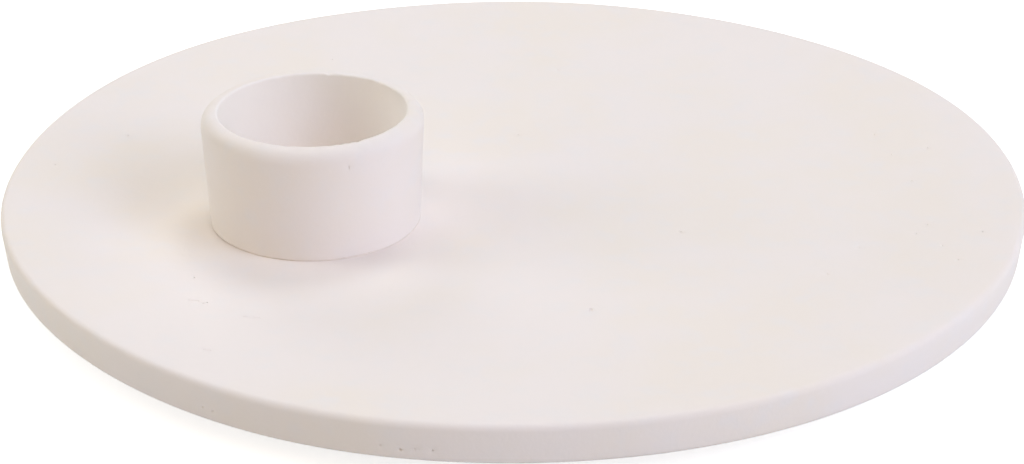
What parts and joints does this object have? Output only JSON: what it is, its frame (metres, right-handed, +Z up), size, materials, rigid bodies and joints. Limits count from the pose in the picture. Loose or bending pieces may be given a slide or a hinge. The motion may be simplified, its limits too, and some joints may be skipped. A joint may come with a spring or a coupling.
{
  "type": "candle plate",
  "caption": "Round shallow stoneware plate with a low open cup set off centre, which holds a dinner candle upright while the plate catches its wax.",
  "frame": {"origin": "on the plate's axis, at the level of the table that the foot dots stand on", "axes": "+Z up along the plate's and the cup's axes, and -X from the plate's axis to the cup's axis"},
  "size_m": [0.1247, 0.1246, 0.0213],
  "materials": {
    "stoneware": "matt off-white slip coat, sponged smooth",
    "fired_slip": "dry fired clay",
    "soft_rubber": "clouded, satin"
  },
  "bodies": {
    "root": {"plate": "stoneware", "candle_cup": "stoneware", "joining_slip": "fired_slip", "foot_dot_1": "soft_rubber", "foot_dot_2": "soft_rubber", "foot_dot_3": "soft_rubber", "foot_dot_4": "soft_rubber"}
  },
  "joints": []
}
